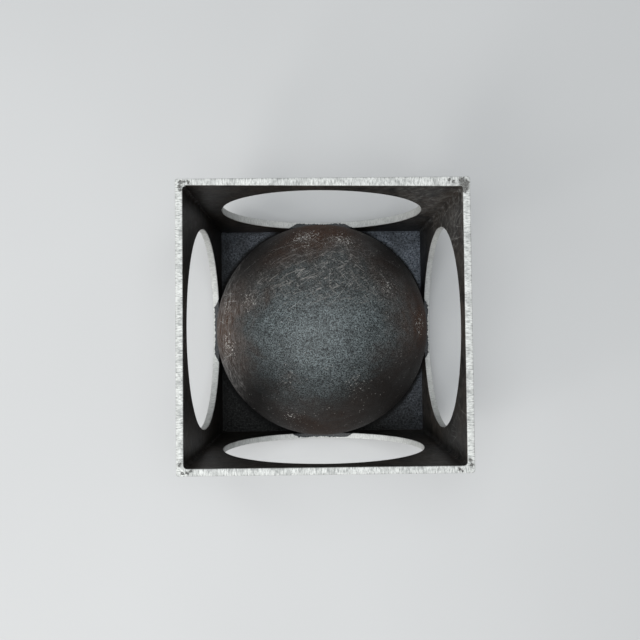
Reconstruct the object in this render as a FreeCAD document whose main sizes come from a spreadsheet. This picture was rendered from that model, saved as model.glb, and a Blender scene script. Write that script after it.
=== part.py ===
import FreeCAD, Part
import math
import os
import Sketcher

# Magnetic desk sculpture: a square steel box, open at the top, with one large round hole in each wall
# and a hollow ball on a pivoted pot magnet in the middle of its base plate.
# Millimetres. Z is up, the origin is at the middle of the felt pad's underside, and the front faces -Y.

# Driving dimensions: cell name, value in mm (or a count), and what it is.
SIZES = (
    ("side", 127.0, "outer width and depth of the box"),
    ("plate", 3.175, "thickness of the wall plates and the base plate"),
    ("hole_dia", 101.6, "round hole in each wall"),
    ("edge_round", 0.35, "dressed edges of the rim and the holes"),
    ("weld_round", 0.9, "ground outer corner of the weld seams"),
    ("felt_side", 104.0, "width of the felt pad"),
    ("felt_thick", 1.5, "thickness of the felt pad"),
    ("felt_corner", 6.0, "corner radius of the felt pad"),
    ("ball_radius", 59.5, "outside radius of the ball"),
    ("ball_wall", 2.0, "thickness of the ball's shell"),
    ("ball_rise", 20.8, "height of the ball's centre above its flat"),
    ("ball_gap", 0.3, "gap between the ball's flat and the base plate"),
    ("ball_lip", 0.4, "rounding of the ball's lower edge"),
    ("cup_dia", 50.0, "pot magnet cup"),
    ("cup_high", 8.5, "height of the cup"),
    ("cup_wall", 3.2, "wall of the cup"),
    ("cup_round", 0.8, "rounding of the cup's top edge"),
    ("pole_dia", 20.0, "middle pole of the cup"),
    ("groove_deep", 6.0, "depth of the groove that holds the ring magnet"),
    ("magnet_set", 0.2, "how far the ring magnet sits back from the cup's face"),
    ("bolt_dia", 6.0, "pivot bolt shank"),
    ("bolt_head_dia", 12.0, "pivot bolt head"),
    ("bolt_head_high", 3.3, "height of the pivot bolt head"),
    ("bolt_long", 22.0, "overall length of the pivot bolt"),
    ("bolt_key", 4.0, "hexagon socket across flats"),
    ("thrust_dia", 18.0, "thrust washer"),
    ("thrust_thick", 0.8, "thickness of the thrust washer"),
    ("floor_dia", 106.0, "floor disc of the ball"),
    ("floor_thick", 3.0, "thickness of the floor disc"),
    ("bush_dia", 10.0, "outside of the bush"),
    ("bush_flange_dia", 15.0, "flange of the bush"),
    ("bush_flange", 1.0, "thickness of the bush's flange"),
    ("run_gap", 0.05, "radial running gap between bolt and bush"),
    ("end_play", 0.1, "axial play between the bush and its washer"),
    ("bore_slack", 0.2, "radial slack of a washer on the bolt"),
    ("nut_washer_dia", 13.0, "washer under the lock nut"),
    ("nut_washer_thick", 1.0, "thickness of that washer"),
    ("nut_flats", 10.0, "lock nut across flats"),
    ("nut_high", 4.5, "height of the nut's hexagon"),
    ("nut_collar_dia", 9.0, "nylon collar of the lock nut"),
    ("nut_collar_high", 1.4, "height of the collar"),
    ("lug_count", 4, "lugs inside the ball"),
    ("lug_circle", 46.0, "radius of the lugs' screw circle"),
    ("lug_wide", 10.0, "width of a lug"),
    ("lug_in", 5.0, "how far a lug reaches inside the screw circle"),
    ("lug_high", 9.0, "height of a lug"),
    ("screw_dia", 4.0, "floor screw shank"),
    ("screw_head_dia", 8.0, "floor screw head"),
    ("screw_head_high", 2.3, "height of the floor screw head"),
    ("screw_long", 11.0, "overall length of a floor screw"),
    ("screw_key", 2.5, "hexagon socket across flats"),
)

# Heights that several pieces share, as expressions over the sheet.
PLATE_TOP = "(sizes.felt_thick + sizes.plate)"
INNER = "(sizes.side - 2 * sizes.plate)"
RIM = f"({PLATE_TOP} + {INNER})"
BALL_FLAT = f"({PLATE_TOP} + sizes.ball_gap)"
BALL_MIDDLE = f"({BALL_FLAT} + sizes.ball_rise)"
CUP_TOP = f"({PLATE_TOP} + sizes.cup_high)"
FLOOR_UNDER = f"({CUP_TOP} + sizes.thrust_thick)"
FLOOR_TOP = f"({FLOOR_UNDER} + sizes.floor_thick)"
BUSH_TOP = f"({FLOOR_TOP} + sizes.bush_flange)"
NUT_WASHER_UNDER = f"({BUSH_TOP} + sizes.end_play)"
NUT_UNDER = f"({NUT_WASHER_UNDER} + sizes.nut_washer_thick)"
CLOSE = 1e-4  # lengths nearer than this are the same

doc = FreeCAD.newDocument("magnetic_desk_sculpture")
nodes = []


def make_sheet():
    """Write the driving dimensions into the sheet, one named cell each."""
    sheet = doc.addObject("Spreadsheet::Sheet", "sizes")
    for row, (alias, value, meaning) in enumerate(SIZES, start=1):
        sheet.set(f"A{row}", meaning)
        sheet.set(f"B{row}", str(value))
        sheet.setAlias(f"B{row}", alias)
    doc.recompute()
    return sheet


def bind(thing, **rules):
    """Bind properties to expressions over the sheet."""
    for name, rule in rules.items():
        thing.setExpression(name, rule)
    return thing


def place(thing, x="0 mm", y="0 mm", z="0 mm", turn=0.0):
    """Turn a piece about Z and bind its position."""
    thing.Placement = FreeCAD.Placement(FreeCAD.Vector(), FreeCAD.Rotation(FreeCAD.Vector(0, 0, 1), turn))
    for axis, rule in (("x", x), ("y", y), ("z", z)):
        thing.setExpression(f".Placement.Base.{axis}", rule)
    return thing


def keep(thing, label):
    """Name a finished piece; the name becomes its file name."""
    thing.Label = label
    nodes.append(thing)
    return thing


def box(length, width, height, x="0 mm", y="0 mm", z="0 mm", turn=0.0):
    solid = bind(doc.addObject("Part::Box", "box"), Length=length, Width=width, Height=height)
    return place(solid, x, y, z, turn)


def cylinder(radius, height, z, x="0 mm", y="0 mm"):
    solid = bind(doc.addObject("Part::Cylinder", "cylinder"), Radius=radius, Height=height)
    return place(solid, x, y, z)


def cone(low_radius, high_radius, height, z, x="0 mm", y="0 mm"):
    solid = bind(doc.addObject("Part::Cone", "cone"), Radius1=low_radius, Radius2=high_radius, Height=height)
    return place(solid, x, y, z)


def hexagon(flats, height, z, x="0 mm", y="0 mm"):
    solid = doc.addObject("Part::Prism", "hexagon")
    solid.Polygon = 6
    bind(solid, Circumradius=f"{flats} / sqrt(3)", Height=height)
    return place(solid, x, y, z)


def join(*pieces):
    union = doc.addObject("Part::MultiFuse", "join")
    union.Shapes = list(pieces)
    return union


def cut(base, tool):
    difference = doc.addObject("Part::Cut", "cut")
    difference.Base = base
    difference.Tool = tool
    return difference


def group(pieces):
    """Several separate solids in one node."""
    compound = doc.addObject("Part::Compound", "group")
    compound.Links = list(pieces)
    return compound


def rounded(base, *choices):
    """Fillet a piece: each choice is a radius cell and a test that picks its edges."""
    doc.recompute()
    fillet = doc.addObject("Part::Fillet", "rounded")
    fillet.Base = base
    picked = []
    for cell, wanted in choices:
        radius = float(sheet.get(cell))
        picked += [(n, radius, radius) for n, edge in enumerate(base.Shape.Edges, start=1) if wanted(edge)]
    fillet.Edges = picked
    return fillet


def has_curve(edge, kind):
    """True for an edge of that kind, such as Line or Circle; a ball's pole has no curve."""
    return not edge.Degenerated and edge.Curve.TypeId == f"Part::Geom{kind}"


def runs_along(edge, axis):
    """True for a straight edge parallel to axis (0 is X, 1 is Y, 2 is Z)."""
    return has_curve(edge, "Line") and abs(abs(edge.Curve.Direction[axis]) - 1) < CLOSE


def is_circle_at(edge, radius, height):
    """True for a circle of that radius at that height."""
    if not has_curve(edge, "Circle"):
        return False
    return abs(edge.Curve.Radius - radius) < CLOSE and abs(edge.CenterOfMass.z - height) < CLOSE


def value_of(rule):
    """The number that an expression over the sheet gives, in millimetres."""
    return float(sheet.evalExpression(rule.replace("sizes.", "")))


def holder(label, x="0 mm", y="0 mm", z="0 mm", turn=0.0):
    """An empty PartDesign body in its place."""
    body = doc.addObject("PartDesign::Body", label)
    return place(body, x, y, z, turn)


def sketch_on(body, plane):
    """A sketch on one of the body's own origin planes."""
    sketch = body.newObject("Sketcher::SketchObject", "outline")
    support = [face for face in body.Origin.OriginFeatures if face.Role == plane]
    sketch.AttachmentSupport = [(support[0], "")]
    sketch.MapMode = "FlatFace"
    return sketch


def size_constraint(sketch, name, rule, kind, *points):
    """A named sketch constraint whose value is bound to the sheet."""
    number = sketch.addConstraint(Sketcher.Constraint(kind, *points, 10.0))
    sketch.renameConstraint(number, name)
    sketch.setExpression(f"Constraints.{name}", rule)


def add_square(sketch, side_rule, low_rule):
    """A square centred on the sketch's vertical axis, its lower edge at low_rule."""
    corners = [FreeCAD.Vector(x, y, 0) for x, y in ((-10, 0), (10, 0), (10, 20), (-10, 20))]
    lines = [Part.LineSegment(corners[n], corners[(n + 1) % 4]) for n in range(4)]
    low, right, top, left = sketch.addGeometry(lines, False)
    for line, following in ((low, right), (right, top), (top, left), (left, low)):
        sketch.addConstraint(Sketcher.Constraint("Coincident", line, 2, following, 1))
    for way, line in (("Vertical", right), ("Horizontal", top), ("Vertical", left)):
        sketch.addConstraint(Sketcher.Constraint(way, line))
    sketch.addConstraint(Sketcher.Constraint("Symmetric", low, 1, low, 2, -2))
    size_constraint(sketch, "across", side_rule, "DistanceX", low, 1, low, 2)
    size_constraint(sketch, "tall", side_rule, "DistanceY", right, 1, right, 2)
    size_constraint(sketch, "low_edge", low_rule, "DistanceY", -1, 1, low, 1)


def add_circle(sketch, radius_rule, height_rule):
    """A circle on the sketch's vertical axis, its centre at height_rule."""
    ring = sketch.addGeometry(Part.Circle(FreeCAD.Vector(0, 10, 0), FreeCAD.Vector(0, 0, 1), 5), False)
    sketch.addConstraint(Sketcher.Constraint("PointOnObject", ring, 3, -2))
    size_constraint(sketch, "hole_radius", radius_rule, "Radius", ring)
    size_constraint(sketch, "hole_height", height_rule, "DistanceY", -1, 1, ring, 3)


def make_base_plate():
    half = f"-{INNER} / 2"
    keep(box(INNER, INNER, "sizes.plate", half, half, "sizes.felt_thick"), "base_plate")


def make_wall(label, turn, x_way, y_way):
    """A square plate with a round hole in its middle, standing on the base plate's top level."""
    out = f"({INNER} / 2)"
    body = holder(label, f"{x_way} * {out}", f"{y_way} * {out}", "0 mm", turn)
    sketch = sketch_on(body, "XZ_Plane")
    add_square(sketch, INNER, PLATE_TOP)
    add_circle(sketch, "sizes.hole_dia / 2", f"{PLATE_TOP} + {INNER} / 2")
    pad = body.newObject("PartDesign::Pad", "plate")
    pad.Profile = sketch
    bind(pad, Length="sizes.plate")
    doc.recompute()
    rim = value_of(RIM)
    dressed = []
    for number, edge in enumerate(pad.Shape.Edges, start=1):
        on_rim = runs_along(edge, 0) and abs(edge.CenterOfMass.z - rim) < CLOSE
        if on_rim or has_curve(edge, "Circle"):
            dressed.append(f"Edge{number}")
    fillet = body.newObject("PartDesign::Fillet", "dressed_edges")
    fillet.Base = (pad, dressed)
    bind(fillet, Radius="sizes.edge_round")
    body.Tip = fillet
    keep(body, label)


def make_corner_weld(label, x_way, y_way):
    """Weld metal that fills an open corner from the bottom to the rim, ground flush."""
    starts = {-1: "-sizes.side / 2", 1: "sizes.side / 2 - sizes.plate"}
    seam = box("sizes.plate", "sizes.plate", f"{RIM} - sizes.felt_thick",
               starts[x_way], starts[y_way], "sizes.felt_thick")
    half = value_of("sizes.side") / 2
    top = value_of(RIM)

    def outer(edge):
        middle = edge.CenterOfMass
        return abs(middle.x * x_way - half) < CLOSE, abs(middle.y * y_way - half) < CLOSE

    def is_upright(edge):
        return runs_along(edge, 2) and all(outer(edge))

    def is_at_rim(edge):
        return abs(edge.CenterOfMass.z - top) < CLOSE and any(outer(edge))

    def is_at_foot(edge):
        return edge.CenterOfMass.z < top / 4 and any(outer(edge))

    edges = (("weld_round", is_upright), ("edge_round", is_at_rim), ("weld_round", is_at_foot))
    keep(rounded(seam, *edges), label)


def make_base_weld(label, turn, x_way, y_way):
    """Weld metal along one bottom edge between a wall and the base plate."""
    out = "(sizes.side / 2)"
    along = f"({INNER} / 2)"
    seam = box(INNER, "sizes.plate", "sizes.plate",
               f"{x_way} * {out} + {y_way} * {along}", f"{y_way} * {out} - {x_way} * {along}",
               "sizes.felt_thick", turn)
    half = value_of("sizes.side") / 2
    low = value_of("sizes.felt_thick")

    def is_outer_foot(edge):
        middle = edge.CenterOfMass
        reach = middle.x * x_way + middle.y * y_way
        return abs(middle.z - low) < CLOSE and abs(reach - half) < CLOSE

    keep(rounded(seam, ("weld_round", is_outer_foot)), label)


def make_felt_pad():
    half = "-sizes.felt_side / 2"
    pad = box("sizes.felt_side", "sizes.felt_side", "sizes.felt_thick", half, half)
    keep(rounded(pad, ("felt_corner", lambda edge: runs_along(edge, 2))), "felt_pad")


def countersunk(head_dia, head_high, shank_dia, long, z, x="0 mm", y="0 mm"):
    """A flat head below and a shank above, as one solid."""
    head = cone(f"{head_dia} / 2", f"{shank_dia} / 2", head_high, z, x, y)
    shank = cylinder(f"{shank_dia} / 2", long, z, x, y)
    return join(head, shank)


def make_magnet_cup():
    """Steel cup, open towards the base plate, with a middle pole that is bored for the bolt."""
    blank = cylinder("sizes.cup_dia / 2", "sizes.cup_high", PLATE_TOP)
    groove = cut(cylinder("sizes.cup_dia / 2 - sizes.cup_wall", "sizes.groove_deep", PLATE_TOP),
                 cylinder("sizes.pole_dia / 2", "sizes.groove_deep", PLATE_TOP))
    bolt_way = countersunk("sizes.bolt_head_dia", "sizes.bolt_head_high", "sizes.bolt_dia",
                           "sizes.cup_high", PLATE_TOP)
    bored = cut(cut(blank, groove), bolt_way)
    outer = value_of("sizes.cup_dia") / 2
    top = value_of(CUP_TOP)
    keep(rounded(bored, ("cup_round", lambda edge: is_circle_at(edge, outer, top))), "magnet_cup")


def make_ferrite_ring():
    low = f"{PLATE_TOP} + sizes.magnet_set"
    high = "sizes.groove_deep - sizes.magnet_set"
    ring = cut(cylinder("sizes.cup_dia / 2 - sizes.cup_wall", high, low),
               cylinder("sizes.pole_dia / 2", high, low))
    keep(ring, "ferrite_ring")


def make_pivot_bolt():
    blank = countersunk("sizes.bolt_head_dia", "sizes.bolt_head_high", "sizes.bolt_dia",
                        "sizes.bolt_long", PLATE_TOP)
    keep(cut(blank, hexagon("sizes.bolt_key", "sizes.bolt_head_high", PLATE_TOP)), "pivot_bolt")


def make_washer(label, diameter, thickness, z):
    ring = cut(cylinder(f"{diameter} / 2", thickness, z),
               cylinder("sizes.bolt_dia / 2 + sizes.bore_slack", thickness, z))
    keep(ring, label)


def make_lock_nut():
    blank = join(hexagon("sizes.nut_flats", "sizes.nut_high", NUT_UNDER),
                 cylinder("sizes.nut_collar_dia / 2", "sizes.nut_high + sizes.nut_collar_high", NUT_UNDER))
    thread = cylinder("sizes.bolt_dia / 2", "sizes.nut_high + sizes.nut_collar_high", NUT_UNDER)
    keep(cut(blank, thread), "lock_nut")


def make_pivot_bush():
    sleeve = cylinder("sizes.bush_dia / 2", "sizes.floor_thick + sizes.bush_flange", FLOOR_UNDER)
    flange = cylinder("sizes.bush_flange_dia / 2", "sizes.bush_flange", FLOOR_TOP)
    bore = cylinder("sizes.bolt_dia / 2 + sizes.run_gap", "sizes.floor_thick + sizes.bush_flange", FLOOR_UNDER)
    keep(cut(join(sleeve, flange), bore), "pivot_bush")


def truncated_ball(radius):
    """A ball about the ball's centre, cut off level with the ball's flat."""
    solid = bind(doc.addObject("Part::Sphere", "ball"), Radius=radius,
                 Angle1=f"-asin(sizes.ball_rise / ({radius}))")
    return place(solid, z=BALL_MIDDLE)


def make_dome_shell():
    shell = cut(truncated_ball("sizes.ball_radius"), truncated_ball("sizes.ball_radius - sizes.ball_wall"))
    low = value_of(BALL_FLAT)
    outer = math.sqrt(value_of("sizes.ball_radius") ** 2 - value_of("sizes.ball_rise") ** 2)
    keep(rounded(shell, ("ball_lip", lambda edge: is_circle_at(edge, outer, low))), "dome_shell")


def around(count_cell, radius_rule):
    """Positions spaced evenly on a circle, as pairs of expressions, starting at 45 degrees."""
    count = int(value_of(count_cell))
    for n in range(count):
        angle = 45 + 360 * n / count
        yield angle, f"{radius_rule} * cos({angle} deg)", f"{radius_rule} * sin({angle} deg)"


def make_dome_floor():
    """Disc bored for the bush, with a countersunk hole for each screw."""
    disc = cylinder("sizes.floor_dia / 2", "sizes.floor_thick", FLOOR_UNDER)
    ways = [cylinder("sizes.bush_dia / 2", "sizes.floor_thick", FLOOR_UNDER)]
    for _, x, y in around("sizes.lug_count", "sizes.lug_circle"):
        ways.append(countersunk("sizes.screw_head_dia", "sizes.screw_head_high", "sizes.screw_dia",
                                "sizes.floor_thick", FLOOR_UNDER, x, y))
    keep(cut(disc, join(*ways)), "dome_floor")


def make_floor_lugs():
    """Tapped blocks welded to the inside of the shell; their outer ends follow the shell."""
    lugs = []
    inner_radius = "(sizes.ball_radius - sizes.ball_wall)"
    for angle, x, y in around("sizes.lug_count", "sizes.lug_circle"):
        start = "(sizes.lug_circle - sizes.lug_in)"
        side = "(sizes.lug_wide / 2)"
        block = box(f"{inner_radius} - {start}", "sizes.lug_wide", "sizes.lug_high",
                    f"{start} * cos({angle} deg) + {side} * sin({angle} deg)",
                    f"{start} * sin({angle} deg) - {side} * cos({angle} deg)", FLOOR_TOP, angle)
        fitted = doc.addObject("Part::Common", "fitted")
        fitted.Base = block
        fitted.Tool = truncated_ball(inner_radius)
        lugs.append(cut(fitted, cylinder("sizes.screw_dia / 2", "sizes.lug_high", FLOOR_TOP, x, y)))
    keep(group(lugs), "floor_lugs")


def make_floor_screws():
    screws = []
    for _, x, y in around("sizes.lug_count", "sizes.lug_circle"):
        blank = countersunk("sizes.screw_head_dia", "sizes.screw_head_high", "sizes.screw_dia",
                            "sizes.screw_long", FLOOR_UNDER, x, y)
        screws.append(cut(blank, hexagon("sizes.screw_key", "sizes.screw_head_high", FLOOR_UNDER, x, y)))
    keep(group(screws), "floor_screws")


def make_box():
    make_base_plate()
    sides = (("front", 0, 0, -1), ("right", 90, 1, 0), ("back", 180, 0, 1), ("left", 270, -1, 0))
    for name, turn, x_way, y_way in sides:
        make_wall(f"wall_{name}", turn, x_way, y_way)
        make_base_weld(f"base_weld_{name}", turn, x_way, y_way)
    for depth, y_way in (("front", -1), ("back", 1)):
        for hand, x_way in (("left", -1), ("right", 1)):
            make_corner_weld(f"corner_weld_{depth}_{hand}", x_way, y_way)
    make_felt_pad()


def make_magnet():
    make_magnet_cup()
    make_ferrite_ring()
    make_pivot_bolt()
    make_washer("thrust_washer", "sizes.thrust_dia", "sizes.thrust_thick", CUP_TOP)
    make_washer("nut_washer", "sizes.nut_washer_dia", "sizes.nut_washer_thick", NUT_WASHER_UNDER)
    make_lock_nut()


def make_dome():
    make_dome_shell()
    make_dome_floor()
    make_pivot_bush()
    make_floor_lugs()
    make_floor_screws()


def check_and_export():
    """Stop on any broken feature, then write one STEP file per node."""
    doc.recompute()
    for thing in doc.Objects:
        if "Invalid" in thing.State or "Error" in thing.State:
            raise RuntimeError(f"{thing.Label} is {thing.State}")
    os.makedirs("parts", exist_ok=True)
    for node in nodes:
        shape = node.Shape
        if shape.isNull() or not shape.isValid() or not shape.Solids:
            raise RuntimeError(f"{node.Label} has no valid solid")
        shape.exportStep(f"parts/{node.Label}.step")


sheet = make_sheet()
make_box()
make_magnet()
make_dome()
check_and_export()
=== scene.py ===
import math
import random

import bmesh
import bpy
from mathutils import Matrix, Vector, noise


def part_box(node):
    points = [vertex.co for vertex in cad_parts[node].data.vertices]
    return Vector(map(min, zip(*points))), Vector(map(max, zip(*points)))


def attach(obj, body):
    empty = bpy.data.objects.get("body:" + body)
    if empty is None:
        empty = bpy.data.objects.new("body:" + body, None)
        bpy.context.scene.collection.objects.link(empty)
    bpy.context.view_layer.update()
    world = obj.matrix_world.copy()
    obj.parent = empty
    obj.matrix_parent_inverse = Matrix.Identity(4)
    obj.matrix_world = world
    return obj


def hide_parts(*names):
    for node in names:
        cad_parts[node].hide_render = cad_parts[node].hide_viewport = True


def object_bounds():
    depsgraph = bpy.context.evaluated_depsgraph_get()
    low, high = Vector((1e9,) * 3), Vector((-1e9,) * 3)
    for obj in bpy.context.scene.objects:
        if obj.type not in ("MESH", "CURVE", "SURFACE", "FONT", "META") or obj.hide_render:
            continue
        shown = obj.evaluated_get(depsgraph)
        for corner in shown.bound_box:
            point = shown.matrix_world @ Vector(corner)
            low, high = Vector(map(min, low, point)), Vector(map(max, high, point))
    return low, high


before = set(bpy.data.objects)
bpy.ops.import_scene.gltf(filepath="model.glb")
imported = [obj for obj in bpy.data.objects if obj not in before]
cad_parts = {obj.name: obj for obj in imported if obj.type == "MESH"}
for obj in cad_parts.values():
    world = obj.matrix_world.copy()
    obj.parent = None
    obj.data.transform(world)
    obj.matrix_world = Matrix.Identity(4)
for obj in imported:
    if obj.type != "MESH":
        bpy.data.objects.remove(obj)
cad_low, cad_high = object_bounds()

# Magnetic desk sculpture. Metres; the frame is the CAD's: +Z up through the open top, -Y the front.

MM = 0.001

# ---------------------------------------------------------------- sizes read from the frame

SHELL_LOW, SHELL_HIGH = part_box("dome_shell")
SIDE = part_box("wall_right")[1].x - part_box("wall_left")[0].x      # outer width of the box
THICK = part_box("wall_right")[1].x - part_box("wall_right")[0].x    # plate thickness
INNER_HALF = SIDE / 2 - THICK                                    # middle to a wall's inner face
RIM = cad_high.z                                                 # top of the walls
WALL_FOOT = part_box("base_plate")[1].z                            # bottom of the walls
HOLE_HEIGHT = (RIM + WALL_FOOT) / 2                              # centre of the round holes
HOLE_RADIUS = 50.8 * MM                                          # half of 4 in
BALL_RADIUS = (SHELL_HIGH.x - SHELL_LOW.x) / 2
BALL_MIDDLE = SHELL_HIGH.z - BALL_RADIUS


# ---------------------------------------------------------------- node helpers

class Graph:
    """A material's node tree, with short calls for the nodes that the materials share."""

    def __init__(self, name, rough, metal):
        self.material = bpy.data.materials.new(name)
        self.material.use_nodes = True
        self.tree = self.material.node_tree
        self.shader = self.tree.nodes["Principled BSDF"]
        self.shader.inputs["Metallic"].default_value = metal
        self.shader.inputs["Roughness"].default_value = rough
        self.place = self.node("ShaderNodeTexCoord").outputs["Object"]

    def node(self, kind, **settings):
        made = self.tree.nodes.new(kind)
        for name, value in settings.items():
            setattr(made, name, value)
        return made

    def feed(self, socket, value):
        """Link an output, or set a plain value."""
        if isinstance(value, bpy.types.NodeSocket):
            self.tree.links.new(value, socket)
        else:
            socket.default_value = value

    def math(self, operation, first, second=0.0, clamp=False):
        made = self.node("ShaderNodeMath", operation=operation, use_clamp=clamp)
        self.feed(made.inputs[0], first)
        self.feed(made.inputs[1], second)
        return made.outputs[0]

    def both(self, *shares):
        """Product of several values, such as masks."""
        product = shares[0]
        for share in shares[1:]:
            product = self.math("MULTIPLY", product, share)
        return product

    def length(self, first, second):
        """Distance from the middle, from two coordinates."""
        squares = self.math("ADD", self.both(first, first), self.both(second, second))
        return self.math("SQRT", squares)

    def far_from(self, point, vector=None):
        """Distance of the place, or of vector, from a fixed point."""
        made = self.node("ShaderNodeVectorMath", operation="DISTANCE")
        self.feed(made.inputs[0], vector or self.place)
        made.inputs[1].default_value = point
        return made.outputs["Value"]

    def part(self, axis):
        """One coordinate of the place: 0 for X, 1 for Y, 2 for Z."""
        made = self.node("ShaderNodeSeparateXYZ")
        self.feed(made.inputs[0], self.place)
        return made.outputs[axis]

    def stretch(self, scale, turn=(0.0, 0.0, 0.0)):
        """Place turned first and then scaled, so that streaks run along a turned axis."""
        turned = self.node("ShaderNodeMapping")
        self.feed(turned.inputs["Vector"], self.place)
        turned.inputs["Rotation"].default_value = turn
        made = self.node("ShaderNodeMapping")
        self.feed(made.inputs["Vector"], turned.outputs[0])
        made.inputs["Scale"].default_value = scale
        return made.outputs[0]

    def wavered(self, size, reach):
        """Place shifted by up to reach, in waves about size metres long, so that straight marks waver."""
        cloud = self.node("ShaderNodeTexNoise")
        self.feed(cloud.inputs["Vector"], self.place)
        cloud.inputs["Scale"].default_value = 1 / size
        cloud.inputs["Detail"].default_value = 2.0
        shift = self.node("ShaderNodeVectorMath", operation="SCALE")
        self.feed(shift.inputs[0], cloud.outputs["Color"])
        shift.inputs["Scale"].default_value = reach
        made = self.node("ShaderNodeVectorMath", operation="ADD")
        self.feed(made.inputs[0], self.place)
        self.feed(made.inputs[1], shift.outputs[0])
        return made.outputs[0]

    def noise(self, size, detail=3.0, rough=0.5, vector=None, warp=0.0):
        """Cloudy noise whose features are about size metres across."""
        made = self.node("ShaderNodeTexNoise")
        self.feed(made.inputs["Vector"], vector or self.place)
        made.inputs["Scale"].default_value = 1 / size
        made.inputs["Detail"].default_value = detail
        made.inputs["Roughness"].default_value = rough
        made.inputs["Distortion"].default_value = warp
        return made.outputs["Fac"]

    def spots(self, size, vector=None):
        """Distance from scattered points that are about size metres apart, in their own spacing."""
        made = self.node("ShaderNodeTexVoronoi")
        self.feed(made.inputs["Vector"], vector or self.place)
        made.inputs["Scale"].default_value = 1 / size
        return made.outputs["Distance"]

    def ramp(self, value, low, high, from_value=0.0, to_value=1.0):
        """Remap value from low..high to from_value..to_value, clamped."""
        made = self.node("ShaderNodeMapRange", clamp=True)
        self.feed(made.inputs["Value"], value)
        made.inputs["From Min"].default_value = low
        made.inputs["From Max"].default_value = high
        made.inputs["To Min"].default_value = from_value
        made.inputs["To Max"].default_value = to_value
        return made.outputs["Result"]

    def soft(self, value, low, high):
        """0 at low and 1 at high, with a smooth start and end."""
        made = self.node("ShaderNodeMapRange", interpolation_type="SMOOTHSTEP")
        self.feed(made.inputs["Value"], value)
        made.inputs["From Min"].default_value = low
        made.inputs["From Max"].default_value = high
        return made.outputs["Result"]

    def blend(self, share, first, second):
        """Mix two colours."""
        made = self.node("ShaderNodeMix", data_type="RGBA")
        self.feed(made.inputs[0], share)
        self.feed(made.inputs[6], first)
        self.feed(made.inputs[7], second)
        return made.outputs[2]

    def mix(self, share, first, second):
        """Mix two numbers."""
        made = self.node("ShaderNodeMix", data_type="FLOAT")
        self.feed(made.inputs[0], share)
        self.feed(made.inputs[2], first)
        self.feed(made.inputs[3], second)
        return made.outputs[0]

    def bump(self, height, depth, strength, normal=None):
        """Normal of a relief depth metres deep, on top of an earlier one."""
        made = self.node("ShaderNodeBump")
        made.inputs["Distance"].default_value = depth
        made.inputs["Strength"].default_value = strength
        self.feed(made.inputs["Height"], height)
        if normal:
            self.feed(made.inputs["Normal"], normal)
        return made.outputs[0]

    def set(self, name, value):
        """Link or set one of the shader's own sockets."""
        self.feed(self.shader.inputs[name], value)


def grey(level):
    return (level, level, level, 1.0)


def colour(red, green, blue):
    return (red, green, blue, 1.0)


# ---------------------------------------------------------------- where things are on the steel

def wall_places(g):
    """Shared measures on the box, along its walls, through them and round their windows."""
    x, y, z = (g.part(axis) for axis in range(3))
    across_x, across_y = g.math("ABSOLUTE", x), g.math("ABSOLUTE", y)
    high = g.math("SUBTRACT", z, HOLE_HEIGHT)
    along = g.mix(g.math("GREATER_THAN", across_x, across_y), x, y)
    return {
        "x": x, "y": y, "z": z,
        "high": high,                                                   # above the window's axis
        "along": along,                                                 # sideways along the wall
        "outward": g.math("MAXIMUM", across_x, across_y),               # through the wall
        "reach": g.length(along, high),                                 # from the window's axis
        "round": g.both(g.math("ARCTAN2", high, along), HOLE_RADIUS),   # along the window's edge
    }


def combine(g, x, y, z):
    made = g.node("ShaderNodeCombineXYZ")
    for socket, value in zip(made.inputs, (x, y, z)):
        g.feed(socket, value)
    return made.outputs[0]


SCRATCH_WAVER = 2.4 * MM          # breadth of the band in which a scratch wavers


def scratches(g, marks):
    """Thin scratches, each where a plane cuts the surface: (centre, normal, half length, half width)."""
    total = 0.0
    place = g.wavered(9 * MM, SCRATCH_WAVER)
    mean_shift = Vector((1, 1, 1)) * SCRATCH_WAVER / 2
    for centre, normal, half_length, half_width in marks:
        dot = g.node("ShaderNodeVectorMath", operation="DOT_PRODUCT")
        g.feed(dot.inputs[0], place)
        dot.inputs[1].default_value = normal
        line = g.node("ShaderNodeMath", operation="COMPARE")
        g.feed(line.inputs[0], dot.outputs["Value"])
        line.inputs[1].default_value = normal.dot(centre + mean_shift)
        line.inputs[2].default_value = half_width
        near = g.ramp(g.far_from(centre), half_length * 0.4, half_length, 1.0, 0.0)
        total = g.math("MAXIMUM", total, g.both(line.outputs[0], near))
    return total


# ---------------------------------------------------------------- materials of the box

BARE_LIGHT, BARE_DARK = colour(0.62, 0.625, 0.605), colour(0.20, 0.205, 0.20)
WELD_GREY = colour(0.10, 0.098, 0.092)
# colours of the dark band on a window's bore beside the ball, and of its darker outline
DARK_BAND_GREY, DARK_BAND_EDGE = colour(0.075, 0.072, 0.07), colour(0.018, 0.023, 0.028)

# Pits and smears of weld metal on the rim:
# (x way, y way, from the outer corner along x, the same along y, radius), in mm.
RIM_MARKS = (
    (-1, 1, 2.3, 1.5, 1.0), (-1, 1, 3.8, 1.1, 0.7), (-1, 1, 5.8, 1.3, 0.8), (-1, 1, 2.1, 3.3, 1.1),
    (-1, 1, 2.5, 4.9, 0.7),
    (1, 1, 3.7, 1.6, 1.6), (1, 1, 2.4, 3.1, 2.5), (1, 1, 1.9, 5.0, 1.6), (1, 1, 2.5, 6.3, 0.9),
    (1, 1, 7.4, 2.1, 0.7), (1, 1, 9.0, 1.5, 0.6),
    (-1, -1, 1.6, 5.2, 0.8), (-1, -1, 3.0, 1.5, 0.7), (-1, -1, 4.7, 1.6, 0.9), (-1, -1, 6.3, 2.2, 0.7),
    (1, -1, 1.4, 3.6, 0.8), (1, -1, 2.0, 5.4, 0.9), (1, -1, 5.6, 1.0, 0.6), (1, -1, 6.7, 1.9, 0.8),
)


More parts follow.
